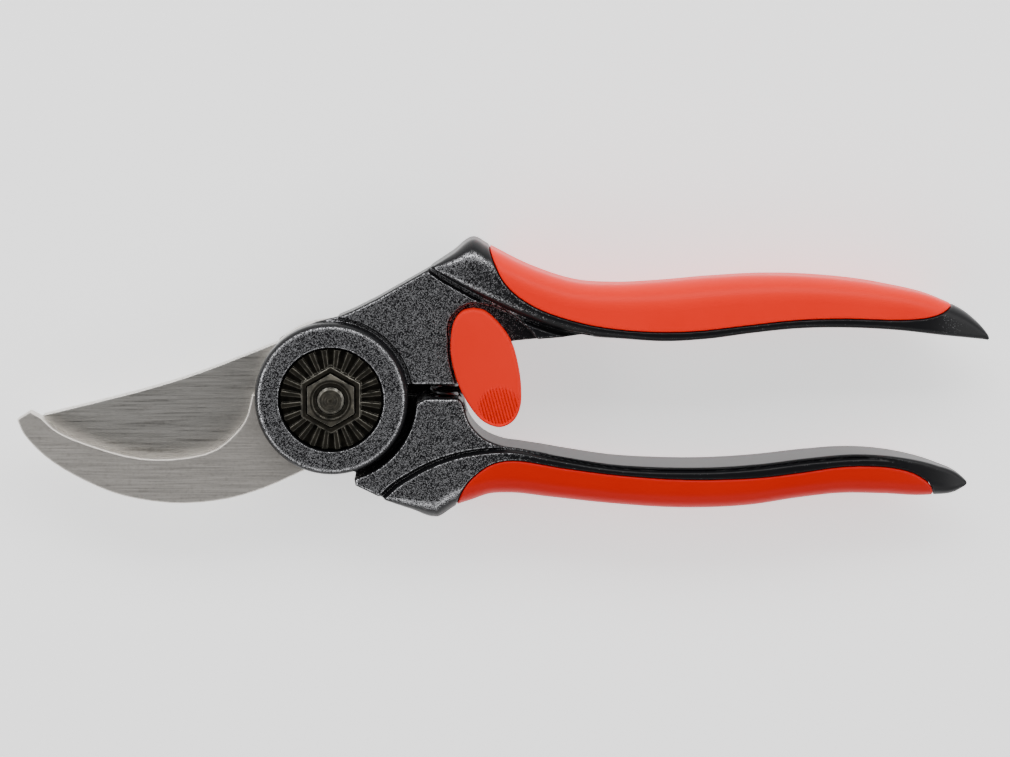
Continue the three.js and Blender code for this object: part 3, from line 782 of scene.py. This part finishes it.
def lower_arm_field(x, y, z):
    arm = slab(outline_distance(LOWER_ARM)(x, y), z, SHEAR - ARM, SHEAR + ARM, 0.8)
    heel = np.interp(x, (10, 24), (0.8, 4.5)).astype(np.float32)
    sides = -path_distance(LOWER_HEEL)(x, y)
    arm = np.maximum(arm, rounded_corner(sides, np.abs(z - SHEAR) - ARM, heel))
    lip = slab(outline_distance(LOWER_LIP)(x, y), z, SHEAR - ARM, SHEAR - 4.6, 0.3)
    metal = np.minimum(soft_join(arm, handle_body(LOWER, x, y, z), 0.6), lip)
    surface = SHEAR + np.maximum(LOWER.depth(x), ARM) + 0.05
    width = np.interp(x, (30, 60), (0.75, 0.5)).astype(np.float32)
    groove = (path_distance(BEAD_GROOVE)(x, y) - width) * 0.9 + (surface - z) * 0.4
    metal = cut_away(metal, groove, 0.3)
    metal = cut_away(metal, LOWER.grip_side(x, y), 0.25)
    core = np.maximum(
        handle_body(LOWER, x, y, z, GRIP_WALL), np.maximum(LOWER.core[0] - x, x - LOWER.core[1])
    )
    metal = np.minimum(metal, core)
    metal = cut_away(metal, slab(disc(x, y, LOWER_FACE_R), z, HUB_TOP, ABOVE), 0.6)
    hub = slab(disc(x, y, LOWER_HUB_R), z, HUB_BOTTOM, HUB_TOP, 0.4)
    metal = np.minimum(metal, hub)
    metal = cut_away(metal, slab(disc(x, y, BUSH_R + 0.3), z, BELOW, ABOVE))
    metal = cut_away(metal, spring_pocket(x, y, z, SPRING_FOOT - 0.3, 5), 0.3)
    notch = np.maximum(np.maximum(26 - x, x - 31), np.abs(y + 2.4) - 1.1)
    metal = cut_away(metal, slab(notch, z, SHEAR + 1, SHEAR + 4.2), 0.2)
    screws = screw_holes(x, y, z, BLADE_SCREWS, BELOW, HUB_TOP + 1, BELOW, HUB_BOTTOM + 1.8)
    return cut_away(metal, screws)


lower_arm = skin("lower_arm_forging", lower_arm_field, (-17.5, -27.5, 2.4), (138, 18, 18), FRAME_VOXEL)
wear(thin_out(lower_arm, 0.5), COAT)
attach(lower_arm, "lower_handle")
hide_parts("lower_frame")

# %% [markdown]
# ## The grips
#
# Each grip is a plastic shell moulded over its rail's core. It stops just short of
# the metal along the seam, so a thin dark line shows between them, and its edge
# there is slightly rounded.

# %% Skin both grips
def grip_field(handle):
    def field(x, y, z):
        shell = handle_body(handle, x, y, z)
        shell = rounded_corner(shell, handle.grip_side(x, y) + 0.12, 0.35)
        core = np.maximum(
            handle_body(handle, x, y, z, GRIP_WALL - 0.2),
            np.maximum(handle.core[0] - 0.3 - x, x - handle.core[1] - 0.3),
        )
        return cut_away(shell, core)

    return field


def make_grip(name, handle, room, material, side):
    grip = skin(name, grip_field(handle), *room, 0.3)
    wear(thin_out(grip, 0.5), material)
    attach(grip, side + "_handle")
    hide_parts(side + "_grip")


make_grip("upper_grip_shell", UPPER, ((32, 11, 2.4), (136, 34.5, 18.4)), UPPER_RED, "upper")
make_grip("lower_grip_shell", LOWER, ((25, -26.5, 2.4), (131, -11, 18.2)), SHADED_LOWER_RED, "lower")

# %% [markdown]
# ## The hook and the cutting blade
#
# Both are cut from sheet steel and ground. The hook is flat, with a narrow chamfer
# round its outline. Its tongue reaches up under the arm, where two screws hold it.
# The cutting blade is flat on the side that meets the hook, and its back falls away
# to a thin edge.

# %% The hook's outlines
HOOK_OUTLINE = [
    (-64.8, -3.2),
    *smooth(26, (-67.6, -5), (-66, -8.6), (-61, -13.7), (-53.5, -18.3), (-45, -21.7),
            (-34.4, -23.3), (-24, -22.6), (-15, -20.1), (-5.6, -15.9)),
    (0, 0),
    *smooth(20, (-17.1, 0.5), (-18.4, -4.6), (-21.1, -8.3), (-26, -12), (-34.3, -13.6),
            (-43, -13.2), (-52.9, -10.3), (-59, -7.6), (-62.5, -4.5)),
]
HOOK_TONGUE = [
    (0, 0), (13, 9), (16.2, 9.8), (18.2, 12), (18.2, 16.5), (15.4, 20.2), (11, 21.1), (5, 18.2),
    (2, 16.6),
]


# %% The hook's field
def hook_field(x, y, z):
    claw = outline_distance(HOOK_OUTLINE)(x, y)
    tongue = outline_distance(HOOK_TONGUE)(x, y)
    flat = np.minimum(np.minimum(claw, tongue), disc(x, y, HUB_R))
    sheet = np.maximum(z - HOOK_TOP, HOOK_BOTTOM - z)
    ground = np.maximum(np.maximum(flat, sheet), (flat + sheet + 0.2) * 0.7)
    ground = cut_away(ground, slab(disc(x, y, BUSH_R + 0.3), z, BELOW, ABOVE))
    screws = screw_holes(x, y, z, HOOK_SCREWS, BELOW, ABOVE, BELOW, HOOK_BOTTOM + 1.4)
    return cut_away(ground, screws)


hook = skin("counter_hook", hook_field, (-68.5, -24, 9.6), (19, 22, 14.3), 0.22)
wear(thin_out(hook, 0.4), HOOK_STEEL)
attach(hook, "upper_handle")
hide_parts("hook_blade")

# %% The cutting blade
SPINE = line_through((-62.6, -4.6), (-50, -1.5), (-40, 1.1), (-30, 4.2), (-20, 8), (-11.5, 11.4))
CUTTING_EDGE = line_through(
    (-62.6, -5.4), (-55, -12), (-45, -15.6), (-35, -16.4), (-25, -14.9), (-11.5, -11.4)
)
BEVEL = 4.5


def cutting_blade_field(x, y, z):
    spine, edge = SPINE(x), CUTTING_EDGE(x)
    run = np.maximum(np.minimum(BEVEL, (spine - edge) * 0.5), 0.3)
    above_edge = np.clip((y - edge) / run, 0, 1)
    depth = 0.25 + (BLADE_TOP - BLADE_BOTTOM - 0.25) * above_edge**1.25
    sheet = np.maximum(z - BLADE_TOP, (BLADE_TOP - depth - z) * 0.8)
    sides = np.maximum(y - spine, edge - y) * 0.9
    flank = rounded_corner(sides, sheet, 0.12)
    flank = np.maximum(flank, np.maximum(-62.6 - x, x + 11.2))
    tang = slab(disc(x, y, HUB_R), z, BLADE_BOTTOM, BLADE_TOP, 0.2)
    blade = np.minimum(flank, tang)
    blade = cut_away(blade, slab(disc(x, y, BUSH_R + 0.3), z, BELOW, ABOVE))
    holes = [slab(disc(x, y, SCREW_R + 0.2, place), z, BELOW, BLADE_TOP - 0.5) for place in BLADE_SCREWS]
    return cut_away(blade, np.minimum.reduce(holes))


cutting_blade = skin("ground_blade", cutting_blade_field, (-63.4, -17.5, 6.4), (17.5, 17.5, 10.7), 0.22)
wear(thin_out(cutting_blade, 0.4), BLADE_STEEL)
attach(cutting_blade, "lower_handle")
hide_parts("cutting_blade")

# %% [markdown]
# ## The tension dial, nut and bolt
#
# The dial is cast with a ring of radial teeth and a raised hexagonal collar that
# holds the nut. The nut's corners are chamfered to a circle, its top has a shallow
# round recess, and the bolt's end still shows the rings of the tool that faced it.
# They are small, so their fields are sampled finely. The bolt is turned from a
# profile instead, as on a lathe.

# %% The dial
DIAL_R = high("tension_dial").x
DIAL_BOTTOM = low("tension_dial").z
TEETH = 24
PLATE_TOP = SHEAR + 6.3
TOOTH_TOP = SHEAR + 7.5
COLLAR_TOP = SHEAR + 8.2
ACROSS_FLATS = high("lock_nut").x - low("lock_nut").x


def hexagon(x, y, across_flats):
    turns = [math.radians(a) for a in (0, 60, 120)]
    sides = [np.abs(x * math.cos(t) + y * math.sin(t)) for t in turns]
    return np.maximum.reduce(np.broadcast_arrays(*sides)) - across_flats / 2


def dial_field(x, y, z):
    radius = np.hypot(x, y)
    pitch = 2 * math.pi / TEETH
    turn = (np.arctan2(y, x) / pitch) % 1 - 0.5
    across = np.abs(turn) * pitch * radius - (0.2 + 0.035 * radius)
    tooth = rounded_corner(across * 0.9, z - TOOTH_TOP, 0.24)
    tooth = np.maximum(tooth, np.maximum(6.0 - radius, radius - (DIAL_R - 0.12)))
    base = slab(disc(x, y, DIAL_R), z, DIAL_BOTTOM, PLATE_TOP, 0.2)
    collar = rounded_corner(hexagon(x, y, ACROSS_FLATS + 2.6), z - COLLAR_TOP, 0.4)
    body = soft_join(base, np.maximum(tooth, DIAL_BOTTOM + 0.3 - z), 0.25)
    body = soft_join(body, np.maximum(collar, DIAL_BOTTOM + 0.3 - z), 0.3)
    body = cut_away(body, slab(hexagon(x, y, ACROSS_FLATS + 0.5), z, PLATE_TOP, ABOVE), 0.15)
    return cut_away(body, slab(disc(x, y, BOLT_R), z, BELOW, ABOVE))


dial = skin(
    "tension_dial_casting",
    dial_field,
    (-11.4, -11.4, DIAL_BOTTOM - 0.4),
    (11.4, 11.4, COLLAR_TOP + 0.4),
    0.12,
)
wear(dial, BLACK)
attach(dial, "adjuster")
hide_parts("tension_dial")

# %% The nut and the bolt
NUT_BOTTOM, NUT_TOP = low("lock_nut").z, high("lock_nut").z
BOLT_END = high("pivot_bolt").z


def nut_field(x, y, z):
    radius = np.hypot(x, y)
    body = slab(hexagon(x, y, ACROSS_FLATS), z, NUT_BOTTOM, NUT_TOP, 0.12)
    chamfer = (radius - 4.45) * 0.5 + (z - NUT_TOP) * 0.87
    hole = slab(radius - 3.05, z, BELOW, ABOVE)
    recess = slab(radius - 3.9, z, NUT_TOP - 0.5, ABOVE)
    return cut_away(cut_away(np.maximum(body, chamfer), hole), recess, 0.12)


def turned_piece(name, profile, sides, material):
    """A profile of (radius, height) pairs turned about the pivot."""
    shape = bmesh.new()
    rings = []
    for radius, height in profile:
        turn = np.linspace(0, 2 * math.pi, sides, endpoint=False)
        ring = [(radius * math.cos(t) / MM, radius * math.sin(t) / MM, height / MM) for t in turn]
        rings.append([shape.verts.new(p) for p in ring])
    for one, two in zip(rings, rings[1:]):
        for i in range(sides):
            j = (i + 1) % sides
            shape.faces.new((one[i], one[j], two[j], two[i]))
    for ring in (rings[0], rings[-1]):
        shape.faces.new(ring)
    bmesh.ops.recalc_face_normals(shape, faces=shape.faces)
    mesh = bpy.data.meshes.new(name)
    shape.to_mesh(mesh)
    shape.free()
    mesh.shade_smooth()
    piece = bpy.data.objects.new(name, mesh)
    bpy.context.scene.collection.objects.link(piece)
    creases = piece.modifiers.new("crisp corners", "EDGE_SPLIT")
    creases.split_angle = math.radians(35)
    wear(piece, material)
    print(name, "has", len(mesh.polygons), "faces")
    return piece


nut = skin("hexagon_nut", nut_field, (-6.5, -6.5, NUT_BOTTOM - 0.3), (6.5, 6.5, NUT_TOP + 0.3), 0.1)
wear(nut, NUT_BLACK)
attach(nut, "adjuster")
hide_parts("lock_nut")

HEAD_R = high("pivot_bolt").x
HEAD_TOP = low("back_washer").z - 0.1
FACED_RINGS = [(2.55, BOLT_END - 0.45), (2.4, BOLT_END - 0.25)] + [
    (2.25 - 0.3 * i, BOLT_END - 0.2 - (0.12 if i % 2 else 0.0)) for i in range(8)
]
THREAD = [
    (2.9 - (0.18 if i % 2 else 0), SHEAR + 3.6 + 0.25 * i)
    for i in range(int((BOLT_END - 0.8 - SHEAR - 3.6) / 0.25))
]
BOLT_PROFILE = [
    (HEAD_R - 0.5, 0), (HEAD_R - 0.15, 0.12), (HEAD_R, 0.5), (HEAD_R, HEAD_TOP - 0.3),
    (HEAD_R - 0.3, HEAD_TOP), (4, HEAD_TOP), (4, SHEAR + 3.4), *THREAD, (2.85, BOLT_END - 0.7),
    *FACED_RINGS,
]
bolt = turned_piece("turned_pivot_bolt", BOLT_PROFILE, 96, BLACK)
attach(bolt, "upper_handle")
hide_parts("pivot_bolt")

# %% [markdown]
# ## The thumb latch
#
# The latch is a slightly domed oval with a soft rim. Its lower end is scooped and
# finely ribbed, so that a thumb can push it sideways. It covers its own pin, and a
# nose on its back points at a notch in the lower arm.

# %% Skin the latch
PAD_CENTRE = (35.9, -1.6)
LATCH_NOSE = [(30.6, -3.1), (34.6, -3.1), (34.6, -0.7), (29.6, -0.7), (29.9, -1.7)]
RIB_PITCH = 0.66
RIB_TILT = math.radians(15)


def latch_field(x, y, z):
    flat = outline_distance(LATCH_OUTLINE)(x, y)
    dome = np.clip(-flat / 6.5, 0, 1)
    top = LATCH_TOP - 0.55 * (1 - dome) ** 2
    pad = np.hypot((x - PAD_CENTRE[0]) / 5.0, (y - PAD_CENTRE[1]) / 4.7) - 1
    on_pad = np.clip(-pad * 5, 0, 1) * np.clip((-flat - 0.35) * 3, 0, 1)
    across = (x - PAD_CENTRE[0]) * math.cos(RIB_TILT) + (y - PAD_CENTRE[1]) * math.sin(RIB_TILT)
    ribs = 0.5 + 0.5 * np.cos(2 * math.pi * across / RIB_PITCH)
    scoop = 0.5 + 0.12 * np.clip(PAD_CENTRE[1] - y, -2, 4)
    top = top - on_pad * (scoop - 0.5 * ribs)
    body = rounded_corner(flat, z - top, 0.7)
    body = rounded_corner(body, LATCH_BOTTOM - z, 0.2)
    nose = slab(outline_distance(LATCH_NOSE)(x, y), z, SHEAR + 1.4, LATCH_BOTTOM + 1, 0.3)
    body = np.minimum(body, nose)
    body = cut_away(body, slab(disc(x, y, 1.9, LATCH_PIN), z, BELOW, LATCH_TOP - 1))
    return cut_away(body, slab(disc(x, y, 4.0, LATCH_PIN), z, BELOW, LATCH_BOTTOM + 0.7))


latch = skin("ribbed_thumb_latch", latch_field, (24.8, -7, 10.4), (41.3, 20.2, 18.4), 0.14)
wear(latch, LATCH_RED)
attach(latch, "latch")
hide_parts("thumb_latch")

# %% [markdown]
# ## The opening spring
#
# A compression spring is one round wire on a helix, with each end in a blind pocket.
# It bridges the two arms, so it stretches between them as they open. Here it is
# swept once, in its resting shape.

# %% Sweep the spring's wire
SPRING_TURNS = 9
WIRE_R = 0.55


def spring_wire(steps_per_turn=36, sides=12):
    steps = SPRING_TURNS * steps_per_turn
    t = np.linspace(0, 1, steps + 1)
    turn = 2 * math.pi * SPRING_TURNS * t
    reach = SPRING_HEAD - SPRING_FOOT - 2 * WIRE_R
    centre = np.column_stack(
        [SPRING_X + (SPRING_R - WIRE_R) * np.cos(turn), SPRING_FOOT + WIRE_R + reach * t,
         SPRING_Z + (SPRING_R - WIRE_R) * np.sin(turn)]
    )
    outward = np.column_stack([np.cos(turn), np.zeros_like(turn), np.sin(turn)])
    along = np.gradient(centre, axis=0)
    along /= np.linalg.norm(along, axis=1)[:, None]
    third = np.cross(along, outward)
    angle = np.linspace(0, 2 * math.pi, sides, endpoint=False)
    ring = np.cos(angle)[None, :, None] * outward[:, None] + np.sin(angle)[None, :, None] * third[:, None]
    return centre[:, None] + WIRE_R * ring, sides


def make_spring():
    rings, sides = spring_wire()
    count = len(rings)
    faces = []
    for i in range(count - 1):
        for j in range(sides):
            k = (j + 1) % sides
            faces.append((i * sides + j, i * sides + k, (i + 1) * sides + k, (i + 1) * sides + j))
    faces.append(tuple(range(sides))[::-1])
    faces.append(tuple(range((count - 1) * sides, count * sides)))
    mesh = bpy.data.meshes.new("opening_coil")
    mesh.from_pydata((rings.reshape(-1, 3) / MM).tolist(), [], faces)
    mesh.validate()
    shape = bmesh.new()
    shape.from_mesh(mesh)
    bmesh.ops.recalc_face_normals(shape, faces=shape.faces)
    shape.to_mesh(mesh)
    shape.free()
    mesh.shade_smooth()
    spring = bpy.data.objects.new("opening_coil", mesh)
    bpy.context.scene.collection.objects.link(spring)
    return spring


spring = make_spring()
wear(spring, SHADED_SPRING_STEEL)
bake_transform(spring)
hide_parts("opening_spring")
print("spring has", SPRING_TURNS, "turns")

# %% [markdown]
# ## Screws, washers, pins and the bush
#
# These keep their CAD shape. A bevel modifier breaks their edges, and each takes the
# finish of its metal.

# %% Finish the small CAD pieces
SMALL_PIECES = {
    "hook_screw_1": BLACK, "hook_screw_2": BLACK, "blade_screw_1": BLACK, "blade_screw_2": BLACK,
    "back_washer": SHADED_SPRING_STEEL, "dial_washer": SHADED_SPRING_STEEL, "latch_washer": SHADED_SPRING_STEEL,
    "latch_pin": SHADED_SPRING_STEEL, "pivot_bush": BRONZE,
}
for node, material in SMALL_PIECES.items():
    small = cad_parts[node]
    wear(small, material)
    edge = small.modifiers.new("broken edge", "BEVEL")
    edge.width, edge.segments = 0.15 / MM, 2
    edge.limit_method, edge.angle_limit = "ANGLE", math.radians(40)
print("finished", len(SMALL_PIECES), "small pieces")

# %% [markdown]
# ## Studio
#
# The shears lie on a white sheet that glows a little, as a light table does. Four
# long, soft lights stand around them, and the strongest is on the upper handle's
# side. The room is pale at the horizon and dark overhead, so that flat black and
# steel faces, which mirror the ceiling, stay dark. The camera looks almost straight
# down, from 750 mm.

# %% Floor, lights, world and camera
floor_mesh = bpy.data.meshes.new("floor")
HALF_FLOOR = 3.0
floor_mesh.from_pydata(
    [(x * HALF_FLOOR, y * HALF_FLOOR, 0) for x, y in ((-1, -1), (1, -1), (1, 1), (-1, 1))],
    [],
    [(0, 1, 2, 3)],
)
floor = bpy.data.objects.new("floor", floor_mesh)
floor.location.z = -0.0005
bpy.context.scene.collection.objects.link(floor)
paper = Finish(
    "white_sheet",
    Base_Color=(0.95, 0.95, 0.95, 1),
    Roughness=0.9,
    Specular_IOR_Level=0.1,
    Emission_Color=(1, 1, 1, 1),
    Emission_Strength=0.85,
)
wear(floor, paper.material)


def soft_light(name, place, aim, width, height, power):
    data = bpy.data.lights.new(name, "AREA")
    data.shape, data.size, data.size_y, data.energy = "RECTANGLE", width, height, power
    light = bpy.data.objects.new(name, data)
    light.location = place
    light.rotation_euler = (Vector(aim) - Vector(place)).to_track_quat("-Z", "Y").to_euler()
    bpy.context.scene.collection.objects.link(light)


CENTRE = (0.037, 0.003, 0.01)
soft_light("main_strip", (0.05, 0.8, 0.6), CENTRE, 1.6, 0.35, 9.0)
soft_light("left_strip", (-0.8, 0.05, 0.6), CENTRE, 1.4, 0.35, 4.5)
soft_light("right_strip", (0.9, 0.05, 0.6), CENTRE, 1.4, 0.35, 4.5)
soft_light("near_strip", (0.05, -0.8, 0.6), CENTRE, 1.6, 0.35, 2.0)

world = bpy.data.worlds.new("white_room")
world.use_nodes = True
room = world.node_tree
sky = room.nodes["Background"]
direction = room.nodes.new("ShaderNodeTexCoord")
height = room.nodes.new("ShaderNodeSeparateXYZ")
fade = room.nodes.new("ShaderNodeMapRange")
for setting, value in (("From Min", 0.3), ("From Max", 0.92), ("To Min", 0.85), ("To Max", 0.07)):
    fade.inputs[setting].default_value = value
room.links.new(direction.outputs["Generated"], height.inputs[0])
room.links.new(height.outputs["Z"], fade.inputs["Value"])
room.links.new(fade.outputs["Result"], sky.inputs["Strength"])
sky.inputs["Color"].default_value = (1, 1, 1, 1)
bpy.context.scene.world = world

CAMERA_TILT = math.radians(9)
CAMERA_DISTANCE = 0.75
camera_data = bpy.data.cameras.new("camera")
camera_data.lens, camera_data.sensor_width = 124.3, 36.0
camera = bpy.data.objects.new("camera", camera_data)
camera.location = (
    0.0371,
    0.0034 + CAMERA_DISTANCE * math.sin(CAMERA_TILT),
    SHEAR / MM + CAMERA_DISTANCE * math.cos(CAMERA_TILT),
)
camera.rotation_euler = (-CAMERA_TILT, 0, 0)
bpy.context.scene.collection.objects.link(camera)
bpy.context.scene.camera = camera
print("camera at", tuple(round(c, 3) for c in camera.location))
